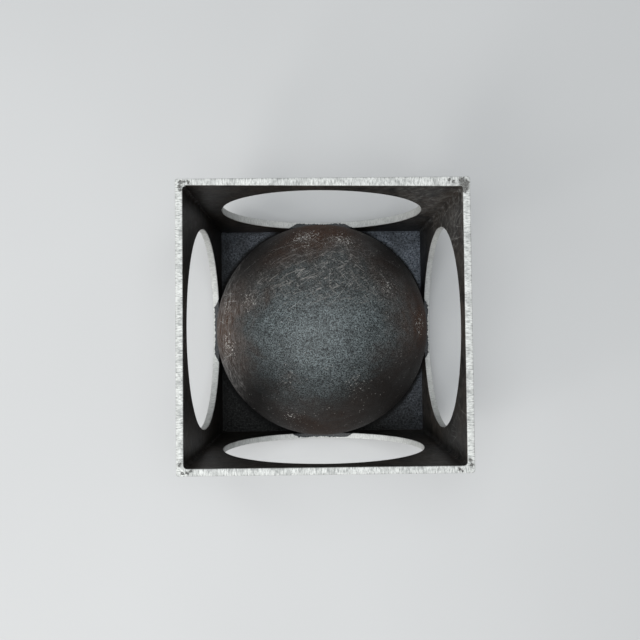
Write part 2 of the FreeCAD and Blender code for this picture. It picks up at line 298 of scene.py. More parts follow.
def rim_marks(g, at):
    """1 in the pits and smears near the rim's corners."""
    total = 0.0
    flat = combine(g, at["x"], at["y"], 0.0)
    wobble = g.noise(1.1 * MM, 5.0, 0.7)
    for x_way, y_way, from_x, from_y, radius in RIM_MARKS:
        middle = (x_way * (SIDE / 2 - from_x * MM), y_way * (SIDE / 2 - from_y * MM), 0)
        ragged = g.math("ADD", g.far_from(middle, flat), g.ramp(wobble, 0.3, 0.7, -0.7 * MM, 0.7 * MM))
        total = g.math("MAXIMUM", total, g.ramp(ragged, radius * MM * 0.6, radius * MM, 1.0, 0.0))
    return g.both(total, g.ramp(g.noise(0.7 * MM, 3.0, 0.6), 0.36, 0.56, 0.5, 1.0))


def bare_steel(g, at, on_rim):
    """Colour, roughness and height of steel ground bright: short cross marks, grey patches, specks."""
    across_rim = combine(g, at["along"], g.both(at["outward"], 0.22), 0.0)
    across_bore = combine(g, at["round"], g.both(at["outward"], 0.2), 0.0)
    on_bore_marks = g.noise(0.5 * MM, 4.0, 0.7, across_bore)
    fine = g.mix(on_rim, on_bore_marks, g.noise(0.55 * MM, 4.0, 0.7, across_rim))
    cloudy = g.noise(4.5 * MM, 5.0, 0.65)
    marks = g.both(g.ramp(fine, 0.34, 0.54, 0.1, 1.0), g.ramp(cloudy, 0.32, 0.55, 0.4, 1.0))
    marks = g.mix(on_rim, g.ramp(marks, 0.0, 1.0, 0.45, 1.0), marks)
    tone = g.blend(marks, BARE_DARK, BARE_LIGHT)
    dark_specks = g.ramp(g.noise(0.6 * MM, 3.0, 0.6), 0.36, 0.28)
    tone = g.blend(g.both(dark_specks, 0.6), tone, colour(0.2, 0.19, 0.18))
    return tone, g.ramp(fine, 0.3, 0.7, 0.72, 0.58), fine


# Rubbed scratches inside the walls: (how many, whether on the back wall rather than the right one,
# place along the wall, depth below the rim, lean in degrees and its spread, half length, half width).
# Lengths are in mm.
WALL_RUBS = (
    (26, True, (36, 59), (5, 60), (20, 18), (3, 12), (0.12, 0.3)),      # right end of the back wall
    (18, False, (36, 59), (5, 75), (70, 18), (4, 14), (0.1, 0.26)),     # back end of the right wall
    (14, False, (-36, -58), (4, 50), (100, 20), (3, 10), (0.1, 0.22)),  # front end of the right wall
)


def wall_scratches():
    """Rubbed scratches inside, thick in the back right corner and thinner in the front right one."""
    draw = random.Random(7)
    marks = []
    for count, on_back, along, below, lean, long, wide in WALL_RUBS:
        for _ in range(count):
            u, z = draw.uniform(*along) * MM, RIM - draw.uniform(*below) * MM
            slope = math.radians(draw.gauss(*lean))
            side, up = -math.sin(slope), math.cos(slope)
            centre = Vector((u, INNER_HALF, z) if on_back else (INNER_HALF, u, z))
            normal = Vector((side, 0, up) if on_back else (0, side, up))
            marks.append((centre, normal, draw.uniform(*long) * MM, draw.uniform(*wide) * MM))
    return marks


def blackened(g, at):
    """Colour, roughness and height of the black patina: brown clouds, rubbed patches and fine grain, with
    painted light that makes it lighter and browner toward the right.
    """
    cloud = g.noise(22 * MM, 5.0, 0.65, warp=0.6)
    rub = g.noise(6 * MM, 6.0, 0.75, g.stretch((1.0, 1.0, 1.6)), warp=1.6)
    blot = g.noise(9 * MM, 6.0, 0.7, warp=1.0)
    grain = g.noise(0.8 * MM, 4.0, 0.75)
    # painted light: lighter, browner and more rubbed toward the right, where the light falls; near black on
    # the left, in shade
    painted_light_to_right = g.ramp(at["x"], -50 * MM, 60 * MM)
    black = g.blend(painted_light_to_right, colour(0.007, 0.005, 0.004), colour(0.014, 0.013, 0.012))
    brown = g.blend(painted_light_to_right, colour(0.015, 0.0075, 0.0035), colour(0.050, 0.039, 0.031))
    tone = g.blend(g.ramp(cloud, 0.36, 0.6), black, brown)
    rubbed = g.both(g.ramp(rub, 0.48, 0.72), g.mix(painted_light_to_right, 0.3, 0.85))
    tone = g.blend(rubbed, tone, colour(0.095, 0.092, 0.088))
    tone = g.blend(g.both(g.ramp(grain, 0.5, 0.66), 0.45), tone, colour(0.095, 0.086, 0.077))
    tone = g.blend(g.both(g.ramp(grain, 0.48, 0.36), 0.6), tone, grey(0.003))
    # strokes that fan out of the back right corner, inside only
    turned = g.stretch((1.0, 0.5, 0.14), (math.radians(25), math.radians(-25), 0.0))
    strokes = g.ramp(g.noise(1.8 * MM, 5.0, 0.75, turned, warp=1.0), 0.5, 0.63)
    to_corner = g.soft(g.math("ADD", at["x"], at["y"]), 70 * MM, 112 * MM)
    inside = g.math("LESS_THAN", at["outward"], INNER_HALF + THICK / 2)
    fan = g.both(to_corner, g.soft(at["z"], 25 * MM, 70 * MM), inside, 0.66)
    tone = g.blend(g.both(strokes, fan), tone, colour(0.24, 0.235, 0.22))
    tone = g.blend(g.both(g.ramp(blot, 0.5, 0.36), 0.85), tone, grey(0.003))
    rough = g.math("ADD", g.ramp(rub, 0.3, 0.75, 0.56, 0.38), g.ramp(grain, 0.3, 0.7, -0.06, 0.08))
    return tone, rough, g.math("ADD", grain, g.both(rub, 2.0))


DARK_BAND_HALF = 17.8 * MM             # half length of the black band at a window's inner edge
DARK_BAND_FROM_OUTSIDE = 0.75 * MM     # bright strip beside it, at the outer edge


def dark_band_depth(g, at):
    """How far inside the dark band in a window beside the ball; its ends slant away."""
    out_edge = g.math("SUBTRACT", SIDE / 2, at["outward"])
    in_edge = g.math("SUBTRACT", at["outward"], INNER_HALF)
    slanted = g.math("ADD", g.math("ABSOLUTE", at["along"]), g.both(in_edge, 1.7))
    from_end = g.math("SUBTRACT", DARK_BAND_HALF, slanted)
    inside_by = g.math("MINIMUM", from_end, g.math("SUBTRACT", out_edge, DARK_BAND_FROM_OUTSIDE))
    frayed = g.ramp(g.noise(2.0 * MM, 5.0, 0.8), 0.3, 0.7, -0.75 * MM, 0.55 * MM)
    return g.math("ADD", inside_by, frayed)


def plate_steel():
    """Walls: black patina on the faces, ground bright on the rim and in the windows."""
    g = Graph("plate_steel", 0.42, 0.0)
    at = wall_places(g)
    ragged = g.math("ADD", g.noise(1.3 * MM, 5.0, 0.7), g.both(g.noise(7 * MM, 2.0), 0.6))
    rim_depth = g.math("SUBTRACT", RIM, at["z"])
    on_rim = g.math("LESS_THAN", rim_depth, g.ramp(ragged, 0.5, 1.1, 0.12 * MM, 0.75 * MM))
    bore_depth = g.math("SUBTRACT", at["reach"], HOLE_RADIUS)
    on_bore = g.math("LESS_THAN", bore_depth, g.ramp(ragged, 0.5, 1.1, 0.06 * MM, 0.62 * MM))
    in_dark_band_by = dark_band_depth(g, at)
    dark_band = g.both(g.math("GREATER_THAN", in_dark_band_by, 0.0), g.math("LESS_THAN", at["high"], 0.0))
    bare = g.math("MAXIMUM", on_rim, g.both(on_bore, g.math("SUBTRACT", 1.0, dark_band)))

    bright, bright_rough, bright_height = bare_steel(g, at, on_rim)
    weld = g.both(rim_marks(g, at), on_rim)
    bright = g.blend(weld, bright, WELD_GREY)
    dark, dark_rough, dark_height = blackened(g, at)
    patchy = g.ramp(g.noise(1.6 * MM, 4.0, 0.7), 0.38, 0.62, 0.05, 0.8)
    dark = g.blend(g.both(scratches(g, wall_scratches()), patchy), dark, colour(0.30, 0.29, 0.275))
    # a dark band with a darker, ragged outline on the window's bore beside the ball
    on_dark_band = g.both(dark_band, g.math("LESS_THAN", bore_depth, 0.3 * MM))
    crust = g.blend(g.ramp(g.noise(0.8 * MM, 4.0, 0.7), 0.35, 0.65), DARK_BAND_EDGE, DARK_BAND_GREY)
    crust = g.blend(g.ramp(in_dark_band_by, 0.25 * MM, 0.75 * MM), DARK_BAND_EDGE, crust)
    dark = g.blend(on_dark_band, dark, crust)

    g.set("Base Color", g.blend(bare, dark, bright))
    g.set("Specular IOR Level", 0.27)
    g.set("Metallic", g.ramp(bare, 0.0, 1.0, 0.04, 0.3))
    g.set("Roughness", g.mix(bare, dark_rough, bright_rough))
    step = g.bump(bare, 0.06 * MM, 0.5)
    step.node.invert = True
    fine = g.bump(g.mix(bare, dark_height, bright_height), 0.03 * MM, 0.7, step)
    g.set("Normal", g.bump(weld, -0.25 * MM, 0.8, fine))
    return g.material


def weld_steel():
    """Weld seams: ground flush, bright on the rim, blackened elsewhere, with the ripples of the beads."""
    g = Graph("weld_steel", 0.45, 0.0)
    at = wall_places(g)
    ragged = g.noise(1.1 * MM, 5.0, 0.7)
    rim_depth = g.math("SUBTRACT", RIM, at["z"])
    on_rim = g.math("LESS_THAN", rim_depth, g.ramp(ragged, 0.35, 0.65, 0.15 * MM, 0.7 * MM))
    bright, bright_rough, bright_height = bare_steel(g, at, on_rim)
    weld = g.both(rim_marks(g, at), on_rim)
    bright = g.blend(weld, bright, WELD_GREY)
    dark, dark_rough, dark_height = blackened(g, at)
    ripple = g.noise(2.2 * MM, 3.0, 0.55, g.stretch((0.5, 0.5, 1.6)), warp=0.8)
    dark = g.blend(g.both(g.ramp(ripple, 0.5, 0.66), 0.5), dark, colour(0.22, 0.22, 0.215))
    g.set("Base Color", g.blend(on_rim, dark, bright))
    g.set("Specular IOR Level", 0.27)
    g.set("Metallic", g.ramp(on_rim, 0.0, 1.0, 0.08, 0.3))
    g.set("Roughness", g.mix(on_rim, dark_rough, bright_rough))
    waves = g.bump(ripple, 0.12 * MM, 0.8)
    fine = g.bump(g.mix(on_rim, dark_height, bright_height), 0.03 * MM, 0.7, waves)
    g.set("Normal", g.bump(weld, -0.25 * MM, 0.8, fine))
    return g.material


def base_steel():
    """Base plate: dark, rough and sandy, with a bluish cast; painted shade darkens it toward the front and
    the left.

    A black ring of painted shade lies where the ball leaves a narrow gap over it.
    """
    g = Graph("base_steel", 0.6, 0.0)
    g.set("Specular IOR Level", 0.12)
    x, y = g.part(0), g.part(1)
    sand = g.noise(1.15 * MM, 4.0, 0.85)
    cloud = g.noise(8 * MM, 5.0, 0.65, warp=0.5)
    pit = g.spots(1.7 * MM)
    # painted shade: the plate darkens toward the front and the left, where the walls shade it
    shade = g.ramp(g.math("ADD", g.both(x, 0.8), y), -30 * MM, 78 * MM)
    tone = g.blend(g.ramp(sand, 0.36, 0.64), colour(0.012, 0.014, 0.017), colour(0.26, 0.29, 0.34))
    tone = g.blend(g.both(g.ramp(cloud, 0.4, 0.62), 0.55), tone, colour(0.035, 0.038, 0.042))
    tone = g.blend(g.both(g.ramp(pit, 0.3, 0.12), 0.75), tone, colour(0.01, 0.011, 0.013))
    dark = g.blend(g.ramp(sand, 0.45, 0.7), grey(0.004), colour(0.035, 0.036, 0.035))
    tone = g.blend(shade, dark, tone)
    # painted shade: a black ring on the plate round the ball, where the ball leaves a narrow gap over it
    frayed = g.ramp(g.noise(2 * MM, 4.0, 0.7), 0.3, 0.7, -0.6 * MM, 0.6 * MM)
    reach = g.math("ADD", g.length(x, y), frayed)
    ring = g.both(g.soft(reach, 66.5 * MM, 64.0 * MM), g.soft(reach, 55.0 * MM, 59.0 * MM))
    on_top = g.soft(g.part(2), WALL_FOOT - 1 * MM, WALL_FOOT - 0.3 * MM)
    g.set("Base Color", g.blend(g.both(ring, on_top), tone, grey(0.003)))
    g.set("Roughness", g.ramp(sand, 0.3, 0.7, 0.75, 0.5))
    g.set("Normal", g.bump(g.math("SUBTRACT", sand, g.ramp(pit, 0.3, 0.1)), 0.2 * MM, 0.9))
    return g.material


# ---------------------------------------------------------------- material of the ball

def on_ball(tilt, turn):
    """A point on the ball: tilt from the top and turn round it from +X, in degrees."""
    a, b = math.radians(tilt), math.radians(turn)
    way = Vector((math.sin(a) * math.cos(b), math.sin(a) * math.sin(b), math.cos(a)))
    return Vector((0, 0, BALL_MIDDLE)) + BALL_RADIUS * way, way


# Fine scratches behind the ball's top: (how many, degrees from the top, degrees round from +X and their
# spread, lean in degrees and its spread, how far the cutting plane tips over, half length in mm).
BALL_RUBS = (
    (26, (16, 60), (98, 32), (24, 16), 0.5, (4, 13)),     # rising to the right
    (10, (24, 60), (60, 20), (-52, 16), 0.4, (4, 12)),    # crossing them, falling to the right
)
FLANK_RUBS = 8                    # round the left flank
FINE_WIDTH = (0.03, 0.07)         # half widths in mm
FLANK_WIDTH = 0.12


def ball_scratches():
    """Fine curved scratches, most of them behind the top, where they cross each other."""
    draw = random.Random(21)
    marks = []
    for count, tilt, turn, lean, over, long in BALL_RUBS:
        for _ in range(count):
            centre, way = on_ball(draw.uniform(*tilt), draw.gauss(*turn))
            slope = math.radians(draw.gauss(*lean))
            normal = way.cross(Vector((math.cos(slope), math.sin(slope), 0))).normalized()
            normal = (normal + way * draw.uniform(-over, over)).normalized()
            marks.append((centre, normal, draw.uniform(*long) * MM, draw.uniform(*FINE_WIDTH) * MM))
    for _ in range(FLANK_RUBS):
        centre, way = on_ball(draw.uniform(58, 78), draw.gauss(182, 16))
        normal = Vector((0, 0, 1)).cross(way.cross(Vector((0, 1, draw.gauss(0, 0.25))))).normalized()
        normal = way.cross(way.cross(normal)).normalized()
        marks.append((centre, normal, draw.uniform(4, 12) * MM, FLANK_WIDTH * MM))
    return marks


# Clusters of pale specks on the ball: (degrees from the top, degrees round from +X, reach in mm, strength).
SPECKLED = (
    (55, 100, 14, 1.0), (52, 77, 13, 0.9), (60, 167, 11, 0.75), (58, 190, 12, 0.9), (42, 158, 9, 0.7),
    (61, 3, 11, 0.8), (40, 32, 15, 0.55), (32, 300, 10, 0.5), (31, 234, 9, 0.45), (54, 250, 11, 0.55),
)


def pale_specks(g):
    """1 on pale specks: crusty clusters, and thin dust between them."""
    near = 0.0
    for tilt, turn, reach, strength in SPECKLED:
        away = g.far_from(on_ball(tilt, turn)[0])
        near = g.math("MAXIMUM", near, g.ramp(away, 0.0, reach * MM, strength, 0.0))
    crust = g.math("ADD", g.noise(1.3 * MM, 4.0, 0.75, warp=1.0), g.both(near, 0.17))
    crust = g.both(g.ramp(crust, 0.665, 0.72), g.ramp(near, 0.0, 0.15))
    dots = g.ramp(g.spots(1.9 * MM, g.wavered(1.5 * MM, 1.5 * MM)), 0.19, 0.1)
    dust = g.both(dots, g.soft(g.noise(8 * MM, 3.0, 0.6), 0.46, 0.62), 0.32)
    return g.math("MAXIMUM", crust, dust)


def ball_steel():
    """Ball: satin black with fine grain, brown on the flanks that is partly patina and partly painted
    reflection, painted shade and light round the flanks, pale specks and scratches.
    """
    g = Graph("ball_steel", 0.45, 0.0)
    x, y = g.part(0), g.part(1)
    high = g.math("SUBTRACT", g.part(2), BALL_MIDDLE)
    grain = g.noise(0.65 * MM, 4.0, 0.8)
    mottle = g.noise(5 * MM, 5.0, 0.7, warp=0.8)
    cloud = g.noise(18 * MM, 5.0, 0.6, warp=0.5)
    tone = g.blend(g.ramp(grain, 0.42, 0.6), colour(0.002, 0.002, 0.003), colour(0.20, 0.233, 0.238))
    tone = g.blend(g.both(g.ramp(mottle, 0.4, 0.68), 0.5), tone, colour(0.016, 0.016, 0.017))
    blot = g.noise(7 * MM, 6.0, 0.75, warp=1.2)
    tone = g.blend(g.both(g.ramp(blot, 0.5, 0.34), 0.5), tone, grey(0.006))
    # rubbed streaks behind the top, rising and falling to the right
    rising, falling = (
        g.noise(1.6 * MM, 5.0, 0.75, g.stretch((0.13, 1.0, 0.6), (0.0, 0.0, math.radians(turn))), warp=1.6)
        for turn in (-26, 50))
    behind = g.both(g.soft(y, 4 * MM, 26 * MM), g.soft(high, 8 * MM, 24 * MM))
    streaks = g.math("MAXIMUM", g.ramp(rising, 0.55, 0.66), g.both(g.ramp(falling, 0.56, 0.67), 0.8))
    tone = g.blend(g.both(behind, 0.55), tone, colour(0.022, 0.019, 0.017))
    tone = g.blend(g.both(streaks, behind, 0.7), tone, colour(0.42, 0.40, 0.375))
    # painted shade on the shoulder between the top and the flank, where the top's highlight falls off
    shoulder_shade = g.ramp(g.math("ADD", high, g.ramp(cloud, 0.3, 0.7, -4 * MM, 4 * MM)), 57 * MM, 46 * MM)
    shoulder_shade = g.math("SUBTRACT", shoulder_shade, behind, clamp=True)
    tone = g.blend(g.both(shoulder_shade, 0.42), tone, colour(0.015, 0.014, 0.013))
    # brown round the flank, partly patina and partly painted reflection; painted shade, near black, between
    # the windows
    low = g.ramp(g.math("ADD", high, g.ramp(cloud, 0.3, 0.7, -8 * MM, 8 * MM)), 50 * MM, 29 * MM)
    rust_and_reflection = g.blend(g.ramp(grain, 0.4, 0.62), colour(0.010, 0.0035, 0.001), colour(0.088, 0.036, 0.015))
    tone = g.blend(g.both(low, 0.88), tone, rust_and_reflection)
    # painted shade: the flank darkens toward the box's corners, between the windows, less toward the back
    corner = g.both(g.math("ABSOLUTE", g.both(x, y)), 1 / (30 * MM) ** 2)
    corner = g.math("SUBTRACT", corner, g.ramp(y, 0.0, 25 * MM, 0.0, 0.12))
    corner = g.both(g.soft(corner, 0.15, 1.45), 0.93)
    tone = g.blend(corner, tone, g.blend(g.ramp(grain, 0.45, 0.65), grey(0.002), grey(0.025)))
    # painted shade toward the front and the right
    front_shade = g.soft(g.math("SUBTRACT", g.both(x, 0.5), y), 20 * MM, 46 * MM)
    tone = g.blend(g.both(front_shade, 0.72), tone, colour(0.008, 0.006, 0.005))
    # greyer flank on the left, with long streaks round it: streaks of wear, made pale as painted light
    # where the light falls on this side
    long_streaks = g.ramp(g.noise(1.1 * MM, 6.0, 0.75, g.stretch((1.0, 0.16, 0.6))), 0.44, 0.66)
    patchy = g.math("ADD", x, g.ramp(cloud, 0.3, 0.7, -9 * MM, 9 * MM))
    left = g.both(g.soft(patchy, -36 * MM, -58 * MM), g.soft(high, -12 * MM, 14 * MM), long_streaks)
    tone = g.blend(g.both(left, 0.75), tone, colour(0.26, 0.25, 0.24))
    # pale specks and scratches on top of it all
    specks = pale_specks(g)
    tone = g.blend(specks, tone, colour(0.52, 0.50, 0.47))
    faded = g.ramp(g.noise(1.3 * MM, 4.0, 0.7), 0.36, 0.56, 0.05, 0.7)
    scratched = g.both(scratches(g, ball_scratches()), faded)
    g.set("Base Color", g.blend(scratched, tone, colour(0.42, 0.42, 0.41)))
    dull = g.math("SUBTRACT", g.both(low, 0.42), g.both(corner, 0.1))
    rough = g.math("ADD", g.ramp(mottle, 0.3, 0.7, 0.40, 0.50), g.ramp(grain, 0.3, 0.7, -0.07, 0.07))
    g.set("Roughness", g.math("ADD", rough, dull))
    g.set("Specular IOR Level", 0.22)
    soft = g.bump(mottle, 0.15 * MM, 0.4)
    fine = g.bump(grain, 0.14 * MM, 0.9, soft)
    g.set("Normal", g.bump(g.math("ADD", specks, scratched), 0.03 * MM, 0.6, fine))
    return g.material


# ---------------------------------------------------------------- materials of the small pieces

def hidden_steel():
    """Inside of the ball: the same black, rougher, with weld heat marks."""
    g = Graph("floor_steel", 0.5, 0.3)
    grain = g.noise(0.6 * MM, 4.0, 0.7)
    heat = g.noise(12 * MM, 4.0, 0.6, warp=1.0)
    tone = g.blend(g.ramp(grain, 0.35, 0.68), colour(0.018, 0.018, 0.019), grey(0.06))
    tone = g.blend(g.both(g.ramp(heat, 0.5, 0.7), 0.5), tone, colour(0.06, 0.04, 0.03))
    g.set("Base Color", tone)
    g.set("Roughness", g.ramp(heat, 0.3, 0.7, 0.42, 0.58))
    g.set("Normal", g.bump(grain, 0.05 * MM, 0.8))
    return g.material


def plated_steel():
    """Nickel plate: turned rings, faint stains."""
    g = Graph("plated_steel", 0.3, 1.0)
    reach = g.length(g.part(0), g.part(1))
    rings = g.noise(0.25 * MM, 2.0, 0.5, combine(g, reach, 0.0, g.both(g.part(2), 0.4)))
    stain = g.noise(4 * MM, 4.0, 0.6)
    tone = g.blend(g.ramp(stain, 0.35, 0.7), colour(0.66, 0.65, 0.62), colour(0.5, 0.49, 0.46))
    tone = g.blend(g.both(g.ramp(rings, 0.4, 0.6), 0.3), tone, colour(0.8, 0.79, 0.76))
    g.set("Base Color", tone)
    g.set("Roughness", g.ramp(stain, 0.3, 0.7, 0.24, 0.38))
    g.set("Normal", g.bump(rings, 0.01 * MM, 0.6))
    return g.material


def ferrite():
    """Ferrite magnet: dark ceramic with grinding lines and fine pores."""
    g = Graph("ferrite", 0.6, 0.0)
    lines = g.noise(0.4 * MM, 3.0, 0.6, g.stretch((1.0, 0.05, 1.0)))
    pores = g.spots(0.7 * MM)
    tone = g.blend(g.ramp(lines, 0.35, 0.65), colour(0.028, 0.028, 0.03), colour(0.06, 0.06, 0.064))
    g.set("Base Color", g.blend(g.ramp(pores, 0.16, 0.08), tone, grey(0.01)))
    g.set("Roughness", g.ramp(lines, 0.3, 0.7, 0.5, 0.66))
    g.set("Normal", g.bump(g.math("SUBTRACT", lines, g.ramp(pores, 0.18, 0.06)), 0.03 * MM, 0.7))
    return g.material


def slide_plastic():
    """Thrust washer: milky acetal, slightly scuffed."""
    g = Graph("slide_plastic", 0.45, 0.0)
    scuff = g.noise(0.8 * MM, 4.0, 0.65, g.stretch((1.0, 0.2, 1.0)))
    g.set("Base Color", g.blend(g.ramp(scuff, 0.4, 0.7), colour(0.78, 0.77, 0.72), colour(0.66, 0.65, 0.6)))
    g.set("Roughness", g.ramp(scuff, 0.3, 0.7, 0.36, 0.55))
    g.set("Normal", g.bump(scuff, 0.02 * MM, 0.5))
    g.set("Subsurface Weight", 0.1)
    g.set("Subsurface Scale", 1 * MM)
    return g.material


def bronze():
    """Bush: turned bronze with oil stains."""
    g = Graph("bronze", 0.35, 1.0)
    turned = g.noise(0.3 * MM, 2.0, 0.5, g.stretch((0.2, 0.2, 1.0)))
    stain = g.noise(3 * MM, 4.0, 0.6)
    tone = g.blend(g.ramp(stain, 0.35, 0.7), colour(0.58, 0.36, 0.16), colour(0.36, 0.2, 0.09))
    tone = g.blend(g.both(g.ramp(turned, 0.4, 0.65), 0.3), tone, colour(0.75, 0.52, 0.28))
    g.set("Base Color", tone)
    g.set("Roughness", g.ramp(stain, 0.3, 0.7, 0.28, 0.45))
    g.set("Normal", g.bump(turned, 0.01 * MM, 0.6))
    return g.material


def felt():
    """Felt: charcoal wool, matted fibres with a soft sheen."""
    g = Graph("felt", 0.95, 0.0)
    fibre = g.noise(0.35 * MM, 5.0, 0.75, g.stretch((1.0, 0.4, 1.0), (0, 0, 0.5)), warp=2.5)
    other = g.noise(0.35 * MM, 5.0, 0.75, g.stretch((0.4, 1.0, 1.0), (0, 0, -0.4)), warp=2.5)
    fuzz = g.math("MAXIMUM", fibre, other)
    tone = g.blend(g.ramp(fuzz, 0.45, 0.75), colour(0.012, 0.012, 0.014), colour(0.055, 0.055, 0.06))
    g.set("Base Color", tone)
    g.set("Sheen Weight", 0.35)
    g.set("Normal", g.bump(fuzz, 0.2 * MM, 0.9))
    return g.material


def pale_floor():
    """Plain pale studio floor with the faintest unevenness."""
    g = Graph("pale_floor", 0.7, 0.0)
    cloud = g.noise(0.35, 3.0, 0.5)
    g.set("Base Color", g.blend(g.ramp(cloud, 0.3, 0.7), grey(0.53), grey(0.57)))
    return g.material


# ---------------------------------------------------------------- meshes

def make_mesh(name, points, faces, material, smooth=True):
    mesh = bpy.data.meshes.new(name)
    mesh.from_pydata([tuple(p) for p in points], [], faces)
    mesh.validate()
    edit = bmesh.new()
    edit.from_mesh(mesh)
    bmesh.ops.recalc_face_normals(edit, faces=edit.faces)
    edit.to_mesh(mesh)
    edit.free()
    if smooth:
        mesh.shade_smooth()
        mesh.set_sharp_from_angle(angle=math.radians(40))
    mesh.materials.append(material)
    made = bpy.data.objects.new(name, mesh)
    bpy.context.scene.collection.objects.link(made)
    return made


def ring_faces(rings, around, closed_section=False):
    """Quads between rings of points that lie one after another in a list; each ring closes on itself."""
    last = rings if closed_section else rings - 1
    return [(r * around + k, r * around + (k + 1) % around,
             (r + 1) % rings * around + (k + 1) % around, (r + 1) % rings * around + k)
            for r in range(last) for k in range(around)]


def fan(middle, first, around):
    """Triangles from a middle point to the ring of points that starts at first."""
    return [(middle, first + k, first + (k + 1) % around) for k in range(around)]


def arc(centre, radius, start, end, steps):
    """Points of a round corner in section, as (first, second) pairs."""
    turns = [math.radians(start + (end - start) * n / steps) for n in range(steps + 1)]
    return [(centre[0] + radius * math.cos(t), centre[1] + radius * math.sin(t)) for t in turns]


def relief(point, size, seed):
    """Smooth noise from -1 to 1 with features about size metres across."""
    return noise.noise(Vector(point) / size + Vector((seed * 17.3, seed * 5.1, seed * 9.7)))


# ---------------------------------------------------------------- walls

AROUND = 640                      # points round a window
EDGE_ROUND = 0.35 * MM            # radius of the rim's and the windows' edges
FACE_STEPS = 14                   # steps from a window to the edge, on each face
ROUND_STEPS = 4                   # steps round an edge
THROUGH_STEPS = 4                 # steps through the plate, between its rounded edges
RIM_UNEVEN = 0.04 * MM            # mean drop of the ground rim below its highest point
NICK = 0.16 * MM                  # nicks in a window's edge stay shallower than this
WAVE = 0.035 * MM                 # mean depth of the waves in a wall's faces
FLAT_FROM_EDGE = 3 * MM           # the waves die out this close to the edge


def wall_section():
    """Closed section of a wall from window to edge: (where it is measured from, offset or share, depth)."""
    r = EDGE_ROUND
    through = [r + (THICK - 2 * r) * n / THROUGH_STEPS for n in range(1, THROUGH_STEPS)]
    bore_in = [("hole", x, d) for x, d in arc((r, r), r, 180, 270, ROUND_STEPS)]
    face_in = [("face", n / FACE_STEPS, 0.0) for n in range(1, FACE_STEPS)]
    rim_in = [("edge", x, d) for x, d in arc((r, r), r, 270, 180, ROUND_STEPS)]
    rim = [("edge", 0.0, d) for d in through]
    rim_out = [("edge", x, d) for x, d in arc((r, THICK - r), r, 180, 90, ROUND_STEPS)]
    face_out = [("face", 1 - n / FACE_STEPS, THICK) for n in range(1, FACE_STEPS)]
    bore_out = [("hole", x, d) for x, d in arc((r, THICK - r), r, 90, 180, ROUND_STEPS)]
    bore = [("hole", 0.0, THICK - d) for d in through]
    return bore_in + face_in + rim_in + rim + rim_out + face_out + bore_out + bore


def rim_drop(x, y):
    """How far the ground rim lies below its highest point."""
    return RIM_UNEVEN * (1 + relief((x, y, 0), 6 * MM, 9))


def make_wall(name, turn, material, seed, at_foot=0.0, at_rim=(0.0, 0.0)):
    """A hand-dressed plate: slightly wavy faces, nicked window edges and a rim that isn't quite level.

    Its inner face stands in by at_foot at the foot and by at_rim at the rim's two ends.
    """
    half = INNER_HALF
    section = wall_section()
    points = []
    swing = Matrix.Rotation(math.radians(turn), 3, "Z")
    for kind, measure, depth in section:
        for k in range(AROUND):
            angle = 2 * math.pi * k / AROUND
            way = Vector((math.cos(angle), math.sin(angle)))
            to_edge = half / max(abs(way.x), abs(way.y))
            top = way.y * to_edge > half * 0.999
            if kind == "hole":
                nick = max(0.0, relief((way.x * 0.1, way.y * 0.1, depth), 2.2 * MM, seed) - 0.15)
                near_edge = 1 - min(depth, THICK - depth) / (THICK / 2)
                reach = HOLE_RADIUS + measure + nick * NICK * near_edge
            elif kind == "edge":
                inset = measure if top else 0.0
                reach = to_edge * (half - inset) / half
            else:
                inset = EDGE_ROUND if top else 0.0
                inner = HOLE_RADIUS + EDGE_ROUND
                reach = inner + (to_edge * (half - inset) / half - inner) * measure
            u, v = way.x * reach, way.y * reach
            if kind == "edge" and top:
                flat = swing @ Vector((u, -(INNER_HALF + depth), 0))
                v -= rim_drop(flat.x, flat.y)
            away_from_edge = min(1.0, max(0.0, half - max(abs(u), abs(v))) / FLAT_FROM_EDGE)
            wave = WAVE * (1 + relief((u, v, 0), 11 * MM, seed + 5)) * away_from_edge
            through = depth + wave if depth < THICK / 2 else depth - wave
            rise, along = (v + half) / (2 * half), (u + half) / (2 * half)
            stands_in = at_foot * (1 - rise) + (at_rim[0] * (1 - along) + at_rim[1] * along) * rise
            through -= stands_in * (1 - depth / THICK)
            points.append(swing @ Vector((u, -(INNER_HALF + through), HOLE_HEIGHT + v)))
    faces = ring_faces(len(section), AROUND, closed_section=True)
    wall = make_mesh(f"{name}_plate", points, faces, material)
    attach(wall, "box")
    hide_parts(name)


# ---------------------------------------------------------------- corner welds

FOOT_ROUND = 0.85 * MM            # radius of a weld's bottom edge
WELD_STEPS = 110                  # steps up a weld between its rounded ends
TUCK = 0.3 * MM                   # how far the fillet reaches back into the joint, out of sight
NO_FILLET = 0.02 * MM             # what is left of the fillet beside the base plate


def rounding(radius, turns):
    """A rounded end: (way in from the end, inset from the side) at each turn from the side, in degrees."""
    turns = [math.radians(turn) for turn in turns]
    return [(radius * (1 - math.sin(turn)), radius * (1 - math.cos(turn))) for turn in turns]


